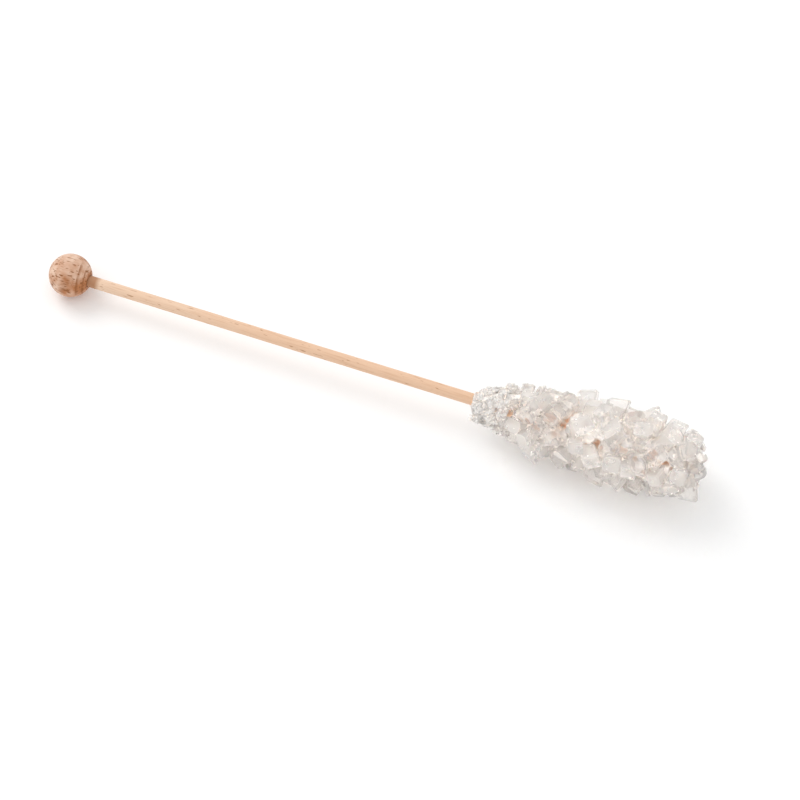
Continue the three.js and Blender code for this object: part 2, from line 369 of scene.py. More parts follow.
@dataclass(frozen=True)
class TurnedBeech:
    """Beech, turned and sanded, left bare.

    Pinkish tan, with shade painted on so that it is darker on the side away from the key light.
    The growth rings come to the surface as thin brown arcs round the drilled end, the cut rays
    as short dark dashes along the grain, and the pores as a fine speckle.

    Attributes:
        pale: Early wood.
        mid: The common colour.
        dark: Late wood and pores.
        dash: The rays.
        ring_mm: Between growth rings.
        ray_mm: Length of a cut ray.
        pore_mm: Between pores.
        stretch: Scale of rays and pores along the grain.
        stray_mm: How far the grain strays.
        bend_mm: Between the bends that it makes.
        patch_mm: Between paler and darker patches.
        gap_mm: Between gaps in the late wood.
        ring_relief_mm: How far late wood stands out.
        ray_relief_mm: How far rays sink in.
        painted_shade_side: The direction in which the wood is painted darker, a painted shade on the
            side away from the key light.
        painted_shade_share: How much painted shade there is at the surface on that side.
    """

    pale: str = "#e9c9b2"
    mid: str = "#b57445"
    dark: str = "#935829"
    dash: str = "#8d5420"
    ring_mm: float = 1.25
    ray_mm: float = 2.3
    pore_mm: float = 0.42
    stretch: float = 0.18
    stray_mm: float = 0.7
    bend_mm: float = 2.857
    patch_mm: float = 3.125
    gap_mm: float = 3.846
    ring_relief_mm: float = 0.05
    ray_relief_mm: float = 0.06
    painted_shade_side: tuple[float, float, float] = (0.8, -0.4, -0.45)
    painted_shade_share: float = 0.15

    def build(self, pith: Vector, radius: float) -> bpy.types.Material:
        """Makes the material.

        Args:
            pith: A point in the part's frame on the line that the growth rings run round.
            radius: Of the turned piece, in metres.

        Returns:
            The material.
        """
        m = new_material("beech_turned_and_sanded")
        here = add_node(m, "ShaderNodeTexCoord", {}).outputs["Object"]
        grain = add_node(m, "ShaderNodeMapping", {"Vector": here, "Location": -pith}).outputs[0]
        late = self.late_wood(m, grain, radius)
        patches = add_node(
            m, "ShaderNodeTexNoise", {"Vector": grain, "Scale": 1 / (self.patch_mm * MM)}
        ).outputs["Fac"]
        dashes, speckle = self.rays_and_pores(m, grain, patches)
        # Painted shade: darker on the side away from the key light, added to the wood's own random
        # patches.
        towards_painted_shade = add_node(
            m,
            "ShaderNodeVectorMath",
            {0: grain, 1: Vector(self.painted_shade_side) / radius},
            operation="DOT_PRODUCT",
        ).outputs["Value"]
        patch_tone_and_painted_shade = add_node(
            m,
            "ShaderNodeMath",
            {0: towards_painted_shade, 1: self.painted_shade_share, 2: patches},
            operation="MULTIPLY_ADD",
        ).outputs[0]
        darker = add_node(m, "ShaderNodeValToRGB", {"Fac": patch_tone_and_painted_shade}, stops=((0.24, 0.0), (0.7, 1.0)))
        colour = linear(self.pale)
        for share, over in (
            (darker.outputs[0], self.mid),
            (late, self.dark),
            (speckle, self.dark),
            (dashes, self.dash),
        ):
            layers = {0: share, 6: colour, 7: linear(over)}
            colour = add_node(m, "ShaderNodeMix", layers, data_type="RGBA").outputs[2]
        rings_stand = add_node(
            m,
            "ShaderNodeBump",
            {"Strength": 0.15, "Distance": self.ring_relief_mm * MM, "Height": late},
        )
        rays_sink = add_node(
            m,
            "ShaderNodeBump",
            {
                "Strength": 0.6,
                "Distance": self.ray_relief_mm * MM,
                "Height": dashes,
                "Normal": rings_stand.outputs[0],
            },
            invert=True,
        )
        rough = add_node(m, "ShaderNodeValToRGB", {"Fac": late}, stops=((0.0, 0.5), (1.0, 0.66)))
        feed(
            m,
            m.node_tree.nodes[SHADER],
            {
                "Base Color": colour,
                "Roughness": rough.outputs[0],
                "Normal": rays_sink.outputs[0],
                "Specular IOR Level": 0.4,
            },
        )
        return m

    def rays_and_pores(
        self, m: bpy.types.Material, grain: bpy.types.NodeSocket, patches: bpy.types.NodeSocket
    ) -> tuple[bpy.types.NodeSocket, bpy.types.NodeSocket]:
        """Draws the dashes of the cut rays, and the speckle of the pores.

        Args:
            m: The material that is being made.
            grain: Coordinates with X along the pith.
            patches: How dark the patches are, because the darker ones have more pores.

        Returns:
            How much there is of each, from 0 to 1.
        """
        bends = add_node(
            m, "ShaderNodeTexNoise", {"Vector": grain, "Scale": 1 / (self.bend_mm * MM)}
        ).outputs["Color"]
        wavy = add_node(
            m,
            "ShaderNodeVectorMath",
            {0: bends, 1: (self.stray_mm * MM,) * 3, 2: grain},
            operation="MULTIPLY_ADD",
        ).outputs[0]
        fibres = add_node(
            m, "ShaderNodeMapping", {"Vector": wavy, "Scale": (self.stretch, 1.0, 1.0)}
        ).outputs[0]
        rays = add_node(
            m,
            "ShaderNodeTexNoise",
            {"Vector": fibres, "Scale": MARK_CELLS / (self.ray_mm * MM), "Detail": 1.0},
        ).outputs["Fac"]
        dashes = add_node(m, "ShaderNodeValToRGB", {"Fac": rays}, stops=((0.6, 0.0), (0.65, 0.9)))
        pores = add_node(
            m, "ShaderNodeTexVoronoi", {"Vector": fibres, "Scale": 1 / (self.pore_mm * MM)}
        ).outputs["Distance"]
        dots = add_node(m, "ShaderNodeValToRGB", {"Fac": pores}, stops=((0.12, 0.85), (0.5, 0.0)))
        more = add_node(m, "ShaderNodeValToRGB", {"Fac": patches}, stops=((0.4, 0.15), (0.6, 1.0)))
        both = {0: dots.outputs[0], 1: more.outputs[0]}
        speckle = add_node(m, "ShaderNodeMath", both, operation="MULTIPLY")
        return dashes.outputs[0], speckle.outputs[0]

    def late_wood(
        self, m: bpy.types.Material, grain: bpy.types.NodeSocket, radius: float
    ) -> bpy.types.NodeSocket:
        """Draws the late wood of each ring, strongest towards the drilled end.

        Args:
            m: The material that is being made.
            grain: Coordinates with X along the pith.
            radius: Of the turned piece, in metres.

        Returns:
            How much late wood there is, from 0 to 1.
        """
        rings = add_node(
            m,
            "ShaderNodeTexWave",
            {
                "Vector": grain,
                "Scale": WAVE_PERIOD / (self.ring_mm * MM),
                "Distortion": 1.3,
                "Detail": 2.0,
                "Detail Scale": 0.4,
            },
            wave_type="RINGS",
            rings_direction="X",
            wave_profile="SAW",
        ).outputs["Fac"]
        lines = add_node(
            m,
            "ShaderNodeValToRGB",
            {"Fac": rings},
            stops=((0.0, 0.5), (0.07, 0.0), (0.62, 0.0), (0.95, 1.0)),
        ).outputs[0]
        gaps = add_node(
            m, "ShaderNodeTexNoise", {"Vector": grain, "Scale": 1 / (self.gap_mm * MM)}
        ).outputs["Fac"]
        unbroken = add_node(m, "ShaderNodeValToRGB", {"Fac": gaps}, stops=((0.4, 0.1), (0.52, 1.0)))
        along = add_node(m, "ShaderNodeSeparateXYZ", {"Vector": grain}).outputs["X"]
        towards_dowel = add_node(
            m,
            "ShaderNodeMapRange",
            {"Value": along, "From Min": -0.1 * radius, "From Max": 0.7 * radius},
        )
        for share in (unbroken.outputs[0], towards_dowel.outputs[0]):
            lines = add_node(m, "ShaderNodeMath", {0: lines, 1: share}, operation="MULTIPLY").outputs[0]
        return lines


@dataclass(frozen=True)
class DrawnBirch:
    """Birch, drawn through a die to a dowel and tumbled smooth.

    Pale cream tan, with faint fibres along it and a few short brown flecks. Inside the sugar,
    syrup has soaked into it and left it a deeper orange brown. Beside the ball, the ball's
    shadow is painted on in a darker brown.

    Attributes:
        pale: The common colour near the ball.
        warm: The common colour near the sugar.
        soaked: The common colour inside the sugar.
        painted_ball_shadow: The ball's shadow, painted in where the dowel enters the ball.
        fibre: The darker fibres.
        fleck: The flecks.
        fibre_mm: Between fibres.
        fibre_stretch: Scale of the fibres along the dowel.
        fibre_relief_mm: How far fibres stand out.
        fleck_mm: Length of a fleck.
        fleck_stretch: Scale of the flecks along the dowel.
        cloud_mm: Between paler and warmer places.
        soak_mm: Over what length the soaked colour comes in.
        painted_shadow_fade_mm: Over what length the painted shadow of the ball fades out.
    """

    pale: str = "#eacbb0"
    warm: str = "#e6c0a1"
    soaked: str = "#d69c68"
    painted_ball_shadow: str = "#a56e45"
    fibre: str = "#c99a76"
    fleck: str = "#a8754e"
    fibre_mm: float = 0.34
    fibre_stretch: float = 0.035
    fibre_relief_mm: float = 0.03
    fleck_mm: float = 1.8
    fleck_stretch: float = 0.16
    cloud_mm: float = 11.11
    soak_mm: float = 3.0
    painted_shadow_fade_mm: float = 1.4

    def build(self, ball_end: float, sugar_end: float) -> bpy.types.Material:
        """Makes the material.

        Args:
            ball_end: Where the painted shadow of the ball beside it ends, in metres along X.
            sugar_end: Where it meets the sugar.

        Returns:
            The material.
        """
        m = new_material("birch_drawn_dowel")
        here = add_node(m, "ShaderNodeTexCoord", {}).outputs["Object"]
        long_fibres = add_node(
            m, "ShaderNodeMapping", {"Vector": here, "Scale": (self.fibre_stretch, 1.0, 1.0)}
        ).outputs[0]
        fibres = add_node(
            m,
            "ShaderNodeTexNoise",
            {"Vector": long_fibres, "Scale": 1 / (self.fibre_mm * MM), "Detail": 3.0},
        ).outputs["Fac"]
        darker = add_node(m, "ShaderNodeValToRGB", {"Fac": fibres}, stops=((0.5, 0.0), (0.75, 0.6)))
        short_fibres = add_node(
            m, "ShaderNodeMapping", {"Vector": here, "Scale": (self.fleck_stretch, 1.0, 1.0)}
        ).outputs[0]
        flecks = add_node(
            m,
            "ShaderNodeTexNoise",
            {"Vector": short_fibres, "Scale": MARK_CELLS / (self.fleck_mm * MM), "Detail": 1.0},
        ).outputs["Fac"]
        marks = add_node(m, "ShaderNodeValToRGB", {"Fac": flecks}, stops=((0.68, 0.0), (0.74, 0.75)))
        clouds = add_node(
            m, "ShaderNodeTexNoise", {"Vector": here, "Scale": 1 / (self.cloud_mm * MM)}
        ).outputs["Fac"]
        along = add_node(m, "ShaderNodeSeparateXYZ", {"Vector": here}).outputs["X"]
        towards_sugar = add_node(
            m, "ShaderNodeMapRange", {"Value": along, "From Min": ball_end, "From Max": sugar_end}
        ).outputs[0]
        warmth = add_node(
            m, "ShaderNodeMath", {0: towards_sugar, 1: clouds}, operation="ADD"
        ).outputs[0]
        warmer = add_node(m, "ShaderNodeValToRGB", {"Fac": warmth}, stops=((0.3, 0.0), (1.0, 1.0)))
        inside_sugar = add_node(
            m,
            "ShaderNodeMapRange",
            {"Value": along, "From Min": sugar_end, "From Max": sugar_end + self.soak_mm * MM},
        )
        # Painted shadow: the ball's shadow on the dowel's first mm or two, painted into its colour.
        painted_shadow_share = add_node(
            m,
            "ShaderNodeMapRange",
            {
                "Value": along,
                "From Min": ball_end,
                "From Max": ball_end + self.painted_shadow_fade_mm * MM,
                "To Min": 0.85,
                "To Max": 0.0,
            },
        )
        colour = linear(self.pale)
        for share, over in (
            (warmer, self.warm),
            (darker, self.fibre),
            (marks, self.fleck),
            (inside_sugar, self.soaked),
            (painted_shadow_share, self.painted_ball_shadow),
        ):
            layers = {0: share.outputs[0], 6: colour, 7: linear(over)}
            colour = add_node(m, "ShaderNodeMix", layers, data_type="RGBA").outputs[2]
        rough = add_node(m, "ShaderNodeValToRGB", {"Fac": fibres}, stops=((0.3, 0.46), (0.7, 0.62)))
        relief = add_node(
            m,
            "ShaderNodeBump",
            {"Strength": 0.35, "Distance": self.fibre_relief_mm * MM, "Height": fibres},
        )
        feed(
            m,
            m.node_tree.nodes[SHADER],
            {
                "Base Color": colour,
                "Roughness": rough.outputs[0],
                "Normal": relief.outputs[0],
                "Specular IOR Level": 0.4,
            },
        )
        return m


class Clarity(Enum):
    """How clear a lot of sugar has grown: transmission, then least and most roughness."""

    CLEAR = (0.8, 0.03, 0.24)
    MILKY = (0.62, 0.05, 0.34)
    SMALL = (0.5, 0.05, 0.3)
    GRAIN = (0.3, 0.08, 0.34)
    HEART = (0.0, 0.3, 0.6)


@dataclass(frozen=True)
class GrownSucrose:
    """Sucrose grown from syrup.

    Colourless and partly clear, partly milky. Its faces are glossy in places and frosted in
    others, with fine growth steps across them.

    Attributes:
        clarity: How clear it has grown.
        tint: What each passage through a face leaves of the light.
        packed: The colour of the heart, where much fine sugar is packed together.
        over_wood: The warm colour that shows where it is thin over the dowel.
        frost_mm: Size of a frosted patch.
        step_mm: Between growth steps, drawn coarser than the real 0.05 mm so that they show.
        step_relief_mm: Height of a growth step.
        ior: Of sucrose.
    """

    clarity: Clarity
    tint: str = "#fefcfa"
    packed: str = "#f8f4f0"
    over_wood: str = "#f0d8c2"
    frost_mm: float = 2.4
    step_mm: float = 0.42
    step_relief_mm: float = 0.04
    ior: float = 1.54

    def build(self) -> bpy.types.Material:
        """Makes the material.

        Returns:
            The material.
        """
        m = new_material("sucrose_grown_" + self.clarity.name.lower())
        transmission, least_rough, most_rough = self.clarity.value
        here = add_node(m, "ShaderNodeTexCoord", {}).outputs["Object"]
        frost = add_node(
            m,
            "ShaderNodeTexNoise",
            {"Vector": here, "Scale": 1 / (self.frost_mm * MM), "Detail": 3.0},
        ).outputs["Fac"]
        rough = add_node(
            m, "ShaderNodeValToRGB", {"Fac": frost}, stops=((0.38, least_rough), (0.64, most_rough))
        )
        steps = add_node(
            m,
            "ShaderNodeTexNoise",
            {
                "Vector": here,
                "Scale": 1 / (self.step_mm * MM),
                "Detail": 2.0,
                "Distortion": 0.6,
            },
        ).outputs["Fac"]
        relief = add_node(
            m,
            "ShaderNodeBump",
            {"Strength": 0.35, "Distance": self.step_relief_mm * MM, "Height": steps},
        )
        colour = linear(self.tint)
        if self.clarity is Clarity.HEART:
            thin = add_node(m, "ShaderNodeAttribute", {}, attribute_name=THINNESS).outputs["Fac"]
            share = add_node(m, "ShaderNodeValToRGB", {"Fac": thin}, stops=((0.3, 0.0), (0.85, 1.0)))
            layers = {0: share.outputs[0], 6: linear(self.packed), 7: linear(self.over_wood)}
            colour = add_node(m, "ShaderNodeMix", layers, data_type="RGBA").outputs[2]
        feed(
            m,
            m.node_tree.nodes[SHADER],
            {
                "Base Color": colour,
                "Roughness": rough.outputs[0],
                "IOR": self.ior,
                "Transmission Weight": transmission,
                "Normal": relief.outputs[0],
            },
        )
        return m


@dataclass(frozen=True)
class WhiteLaminate:
    """White laminate, pressed matt: a plain white with hardly any shine.

    Attributes:
        colour: Of its face.
        roughness: Of its face.
    """

    colour: str = "#ffffff"
    roughness: float = 0.7

    def build(self) -> bpy.types.Material:
        """Makes the material.

        Returns:
            The material.
        """
        m = new_material("white_laminate")
        inputs = {
            "Base Color": linear(self.colour),
            "Roughness": self.roughness,
            "Specular IOR Level": 0.1,
        }
        feed(m, m.node_tree.nodes[SHADER], inputs)
        return m


# ---------------------------------------------------------------------------------------------
# Wooden pieces


@dataclass
class WoodenBall:
    """The turned ball, drilled for the dowel.

    Attributes:
        diameter: Of the ball.
        socket_radius: Of the drilled hole.
        socket_depth: From the ball's surface to the hole's bottom.
        edge_break: The rounding of the hole's edge.
        pith: A point of the line that its growth rings run round.
        turned_steps: Segments of its outline, from end to end.
        segments: Round it.
        finish: Its wood.
    """

    diameter: float = 11.2
    socket_radius: float = 1.55
    socket_depth: float = 6.6
    edge_break: float = 0.3
    pith: tuple[float, float, float] = (0.0, 0.35, -0.25)
    turned_steps: int = 72
    segments: int = 128
    finish: TurnedBeech = field(default_factory=TurnedBeech)

    def shape(self, axis: StickAxis) -> bmesh.types.BMesh:
        """Turns the ball, then flattens the spot that it rests on.

        Args:
            axis: The dowel's frame.

        Returns:
            The ball's closed shell.
        """
        radius = self.diameter / 2
        mouth_radius = self.socket_radius + self.edge_break
        mouth = math.degrees(math.asin(mouth_radius / radius))
        outside = arc((0, 0), radius, 180, mouth, self.turned_steps)
        outside[0] = (-radius, 0)
        lip_centre = (outside[-1][0] - self.edge_break * 0.9, mouth_radius)
        lip = arc(lip_centre, self.edge_break, 330, 270, 3)
        bottom = radius - self.socket_depth
        inside = [(bottom, self.socket_radius), (bottom, 0)]
        bm = spun(outside + lip + inside, self.segments)
        axis.cut_at_table(bm)
        bmesh.ops.recalc_face_normals(bm, faces=bm.faces)
        return bm

    def make(self, shop: Workshop) -> bpy.types.Object:
        """Makes the ball and dresses it.

        Args:
            shop: What turns its shape into a piece.

        Returns:
            The ball.
        """
        pith = shop.axis.to_part @ Vector(self.pith)
        material = self.finish.build(pith, self.diameter / 2 * MM)
        piece = shop.piece("beech_ball", self.shape(shop.axis), material, "beech", 40)
        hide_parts("ball")
        return piece


@dataclass
class Dowel:
    """The thin dowel, from the bottom of the ball's socket to inside the sugar.

    Attributes:
        diameter: Of the dowel.
        start: Where it starts, from the ball's centre.
        end: Where it ends, inside the sugar.
        ring_step: Between its rings of corners.
        segments: Round it.
        unevenness: How far its surface strays from round, as a share of its radius.
        waves: Of that unevenness, in each mm along and across it.
        edge_break: The rounding of its ends.
        sugar_start: Where the sugar starts.
        painted_shadow_end: Where the painted shadow of the ball, beside it, ends.
        finish: Its wood.
    """

    diameter: float = 3.0
    start: float = -0.9
    end: float = 158.0
    ring_step: float = 2.0
    segments: int = 48
    unevenness: float = 0.025
    waves: tuple[float, float, float] = (0.06, 0.5, 0.5)
    edge_break: float = 0.35
    sugar_start: float = 109.5
    painted_shadow_end: float = 7.2
    finish: DrawnBirch = field(default_factory=DrawnBirch)

    def shape(self) -> bmesh.types.BMesh:
        """Spins the dowel, then gives its surface the slight waviness of a drawn rod.

        Returns:
            The dowel's closed shell.
        """
        radius = self.diameter / 2
        inner = radius - self.edge_break
        near = arc((self.start + self.edge_break, inner), self.edge_break, 180, 90, 4)
        far = arc((self.end - self.edge_break, inner), self.edge_break, 90, 0, 4)
        rings = int((self.end - self.start) / self.ring_step)
        sides = [
            (self.start + (self.end - self.start) * i / rings, radius) for i in range(1, rings)
        ]
        bm = spun([(self.start, 0), *near, *sides, *far, (self.end, 0)], self.segments)
        for corner in bm.verts:
            where = Vector([place * wave for place, wave in zip(corner.co, self.waves)])
            swell = 1 + self.unevenness * noise.noise(where)
            corner.co.y *= swell
            corner.co.z *= swell
        return bm

    def make(self, shop: Workshop) -> bpy.types.Object:
        """Makes the dowel and dresses it.

        Args:
            shop: What turns its shape into a piece.

        Returns:
            The dowel.
        """
        ball_end = (shop.axis.to_part @ Vector((self.painted_shadow_end, 0, 0))).x
        sugar_end = (shop.axis.to_part @ Vector((self.sugar_start, 0, 0))).x
        material = self.finish.build(ball_end, sugar_end)
        piece = shop.piece("birch_dowel", self.shape(), material, "birch", 50)
        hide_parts("dowel")
        return piece


# ---------------------------------------------------------------------------------------------
# Sugar


@dataclass(frozen=True)
class Crystal:
    """A block of sugar and its place.

    Attributes:
        along: Where it sits along the dowel.
        around: Where it sits round the dowel, in degrees.
        out: From the dowel's axis to its centre.
        size: Its length.
        lean: How far its far end tips outwards, in degrees.
        turn: How far it is spun on the spot, in degrees.
    """

    along: float
    around: float
    out: float
    size: float
    lean: float = 0.0
    turn: float = 0.0

    def place(self, out: float | None = None) -> Matrix:
        """Returns the way from the block's own frame to the dowel's.

        Args:
            out: Used in place of its own distance from the axis.
        """
        return (
            Matrix.Translation((self.along, 0, 0))
            @ Matrix.Rotation(math.radians(self.around), 4, "X")
            @ Matrix.Translation((0, 0, self.out if out is None else out))
            @ Matrix.Rotation(math.radians(-self.lean), 4, "Y")
            @ Matrix.Rotation(math.radians(self.turn), 4, "Z")
        )


# The crystals that give the cluster its outline, where the CAD part has them too.
LEADING_CRYSTALS = (
    # the fine lumps where the sugar starts
    Crystal(112.6, 118, 3.7, 2.6, 4, 30),
    Crystal(115.8, 122, 4.0, 2.9, -6, 10),
    Crystal(118.6, 112, 4.9, 2.8, 16, 50),
    Crystal(115.4, -66, 3.1, 2.7, 32, 20),
    Crystal(118.6, -60, 4.8, 2.9, 12, 40),
    Crystal(122.4, -64, 6.1, 3.1, 8, 15),
    Crystal(126.6, -60, 6.5, 3.2, -4, 25),
    # along the upper edge
    Crystal(131.8, -62, 6.3, 3.7, 40, 10),
    Crystal(137.5, -62, 7.8, 4.9, 18, 0),
    Crystal(145.2, -60, 8.2, 5.2, 8, 15),
    Crystal(154.4, -64, 8.3, 4.8, 42, 5),
    Crystal(160.6, -60, 7.9, 4.6, -8, 10),
    Crystal(151.0, -20, 7.2, 5.2, 10, 30),
    # round the far end
    Crystal(165.2, -58, 5.4, 5.4, -46, 5),
    Crystal(167.6, 60, 1.6, 4.8, -40, 25),
    Crystal(167.2, 112, 5.2, 5.4, -6, 5),
    Crystal(164.8, 5, 6.4, 5.1, -24, 35),
    Crystal(164.4, 205, 5.6, 5.0, -30, 20),
    # along the lower edge
    Crystal(122.9, 115, 5.1, 4.6, 6, 0),
    Crystal(128.4, 112, 7.7, 4.1, 24, 10),
    Crystal(135.3, 118, 7.2, 4.2, 34, 0),
    Crystal(140.2, 116, 7.2, 3.6, -12, 5),
    Crystal(144.9, 110, 8.5, 4.7, 12, 8),
    Crystal(150.8, 114, 8.6, 3.7, 38, 0),
    Crystal(155.0, 110, 8.4, 3.1, 10, 12),
    Crystal(160.6, 108, 7.6, 3.6, -10, 20),
    # the broad faces in front
    Crystal(133.0, 54, 6.0, 4.8, 12, 25),
    Crystal(139.0, 18, 7.0, 5.0, -10, 40),
    Crystal(147.5, 42, 7.4, 4.9, 14, 65),
    Crystal(143.0, 72, 7.2, 4.5, -18, 20),
    Crystal(153.0, 66, 7.8, 4.3, 8, 10),
    Crystal(158.6, 30, 7.6, 4.9, -12, 50),
    Crystal(160.0, 76, 6.6, 4.3, 20, 30),
)

# Smaller crystals that close the far end round the axis.
TIP_CRYSTALS = (
    Crystal(167.0, 200, 1.8, 4.6, 35, 20),
    Crystal(167.2, 300, 2.4, 4.0, -30, 50),
    Crystal(167.8, 110, 1.0, 3.6, 58, 10),
    Crystal(167.0, 20, 2.8, 3.6, 48, 70),
    Crystal(167.4, 155, 3.4, 3.8, 20, 35),
)

# The crystals that the cluster stands on: along, around and size.
FEET = (
    (126, 160, 3.6),
    (129, 204, 3.8),
    (154, 156, 4.4),
    (157, 202, 4.4),
)


@dataclass(frozen=True)
class Layer:
    """A lot of small blocks scattered over the cluster's surface.

    Attributes:
        count: How many places are tried.
        seed: Of their random numbers.
        shares: First and last share of the cluster's length.
        size: Least and most size.
        sunk: How deep each sits in the surface, as a share of its size.
        only_below: Where the surface is further out than this share of the outline, none sits.
    """

    count: int
    seed: int
    shares: tuple[float, float]
    size: tuple[float, float]
    sunk: float
    only_below: float = 2.0


SMALL_LAYERS = (
    Layer(150, 31, (0.04, 0.98), (1.6, 2.6), 0.3, 0.74),
    Layer(190, 43, (0.06, 0.98), (0.8, 1.6), 0.25, 0.8),
)
GRAIN_LAYERS = (
    Layer(1250, 57, (0.0, 0.17), (0.34, 0.74), 0.15),
    Layer(420, 61, (0.15, 0.4), (0.3, 0.6), 0.15, 0.84),
)


@dataclass(frozen=True)
class Spindle:
    """The cluster's overall form.

    Attributes:
        start: Where it starts, along the dowel.
        end: Where it ends.
        radius: To the tips of the crystals, at the widest place.
        widest: Where that place is, as a share of the length.
        latest_around: Where round the dowel the sugar starts latest, in degrees.
        slope: How much later, for each mm from where the slope begins.
        slope_from: Where the slope begins, in mm beyond the axis as seen from there.
        slope_fades_over: Over how many mm along the dowel it fades out.
    """

    start: float = 109.5
    end: float = 171.0
    radius: float = 11.3
    widest: float = 2 / 3
    latest_around: float = -62.0
    slope: float = 0.35
    slope_from: float = 2.0
    slope_fades_over: float = 9.0

    def along(self, share: float) -> float:
        """Returns the place along the dowel at a share of the cluster's length."""
        return self.start + share * (self.end - self.start)

    def outline(self, share: float) -> float:
        """Returns the cluster's radius at a share of its length."""
        return self.radius * self.swelling(share) / self.swelling(self.widest)

    def swelling(self, share: float) -> float:
        """Returns how wide a plain spindle is at a share of its length."""
        return math.sqrt(share) * (1 - share) ** 0.25

    def late_start(self, point: Vector) -> float:
        """Works out how much later the sugar starts at one side of the dowel.

        Args:
            point: A point of the cluster.

        Returns:
            How far the point is pushed along, in mm.
        """
        around = math.radians(self.latest_around)
        latest = Vector((0, -math.sin(around), math.cos(around)))
        fading = max(1 - (point.x - self.start) / self.slope_fades_over, 0)
        return self.slope * fading * (point.dot(latest) + self.slope_from)


@dataclass(frozen=True)
class ThinPlaces:
    """Where the sugar is thin over the dowel, so that the wood's colour shows.

    Attributes:
        places: Those in front: along, around in degrees, and how far each reaches.
        whole_until: None is nearer than this to where the sugar starts.
        pitch: Of the noise that sets the others, in waves per mm.
        phase: Shift of that noise.
        above: Where that noise is over this, the sugar is thinner.
        edge: How much higher the noise is where it is thinnest.
        squeeze: Places in front are longer along the dowel than round it by this.
        ragged: How far their edges stray, in mm.
        ragged_waves: In each mm.
        soft_edge: Share of a place's reach over which it gets thinner.
    """

    places: tuple[tuple[float, float, float], ...] = (
        (118.2, 44, 1.9),
        (121.0, 20, 1.7),
        (124.2, 46, 1.6),
        (129.6, 34, 1.7),
        (134.2, 22, 1.8),
        (137.6, 46, 1.6),
        (148.6, 26, 2.1),
        (151.2, 48, 1.6),
        (156.4, 34, 1.9),
        (160.6, 44, 1.5),
    )
    whole_until: float = 5.0
    pitch: float = 0.3
    phase: tuple[float, float, float] = (3.1, 7.7, 1.3)
    above: float = 0.2
    edge: float = 0.08
    squeeze: float = 1.4
    ragged: float = 0.9
    ragged_waves: float = 0.9
    soft_edge: float = 0.5

    def share(self, point: Vector, start: float) -> float:
        """Works out how thin the sugar is at a point.

        Args:
            point: The point.
            start: Where the sugar starts.

        Returns:
            0 where it isn't thin, to 1 where it is thinnest.
        """
        if point.x < start + self.whole_until:
            return 0.0
        waves = noise.noise(point * self.pitch + Vector(self.phase))
        scattered = (waves - self.above) / self.edge
        around = math.atan2(-point.y, point.z)
        from_axis = math.hypot(point.y, point.z)
        in_front = 0.0
        for along, place_around, reach in self.places:
            sideways = (around - math.radians(place_around)) * from_axis
            distance = math.hypot(point.x - along, sideways * self.squeeze)
            distance += self.ragged * noise.noise(point * self.ragged_waves)
            in_front = max(in_front, (reach - distance) / (self.soft_edge * reach))
        return min(max(scattered, in_front), 1.0)


@dataclass
class SugarHeart:
    """The milky heart between the dowel and the crystals, of fine sugar packed together.

    Attributes:
        rings: Rings of corners along it.
        segments: Round it.
        shares: Where it starts and ends, as shares of the cluster's length.
        fill: Its radius at the start, as a share of the cluster's.
        less_fill: How much less that share is further along.
        less_from: Share of the length where it is that much less.
        taper_from: Share of the length where it begins to round off to the far end.
        taper_length: Over which share it would round off to nothing.
        least_radius: It is nowhere thinner than this, before its lumps are made.
        bore_radius: Of its hole, which is tight round the dowel.
        bore_end: Where the hole ends.
        bore_wall: What is nearer to the axis than this belongs to the hole.
        lumps: Height, as a share of the radius, and waves per mm of its lumps.
        thin_radius: What is left of its radius where it is thinnest.
        thin_places: Where that is.
    """

    rings: int = 110
    segments: int = 96
    shares: tuple[float, float] = (0.012, 0.955)
    fill: float = 0.74
    less_fill: float = 0.18
    less_from: float = 0.4
    taper_from: float = 0.8
    taper_length: float = 0.16
    least_radius: float = 1.9
    bore_radius: float = 1.3
    bore_end: float = 158.1
    bore_wall: float = 1.6
    lumps: tuple[tuple[float, float], ...] = ((0.1, 0.6), (0.05, 1.9))
    thin_radius: float = 2.3
    thin_places: ThinPlaces = field(default_factory=ThinPlaces)

    def shape(self, form: Spindle) -> bmesh.types.BMesh:
        """Spins the heart, then makes it lumpy, and thin over the dowel here and there.

        Args:
            form: The cluster's form.

        Returns:
            Its closed shell, with how thin it is at each corner.
        """
        first, last = self.shares
        outside = []
        for ring in range(self.rings + 1):
            share = first + (last - first) * ring / self.rings
            fill = self.fill - self.less_fill * min(share / self.less_from, 1)
            fill *= math.sqrt(1 - max((share - self.taper_from) / self.taper_length, 0) ** 2)
            outside.append((form.along(share), max(fill * form.outline(share), self.least_radius)))
        start, end = outside[0][0], outside[-1][0]
        bore = [(self.bore_end, 0), (self.bore_end, self.bore_radius), (start, self.bore_radius)]
        bm = spun([*bore, *outside, (end, 0)], self.segments)
        thinness = bm.verts.layers.float.new(THINNESS)
        for corner in bm.verts:
            away = math.hypot(corner.co.y, corner.co.z)
            if away < self.bore_wall:
                continue
            lumps = sum(height * noise.noise(corner.co * waves) for height, waves in self.lumps)
            thin = self.thin_places.share(corner.co, form.start)
            corner[thinness] = thin
            grown = 1 + lumps + (self.thin_radius / away - 1 - lumps) * thin
            corner.co.y *= grown
            corner.co.z *= grown
            corner.co.x += form.late_start(corner.co)
        return bm


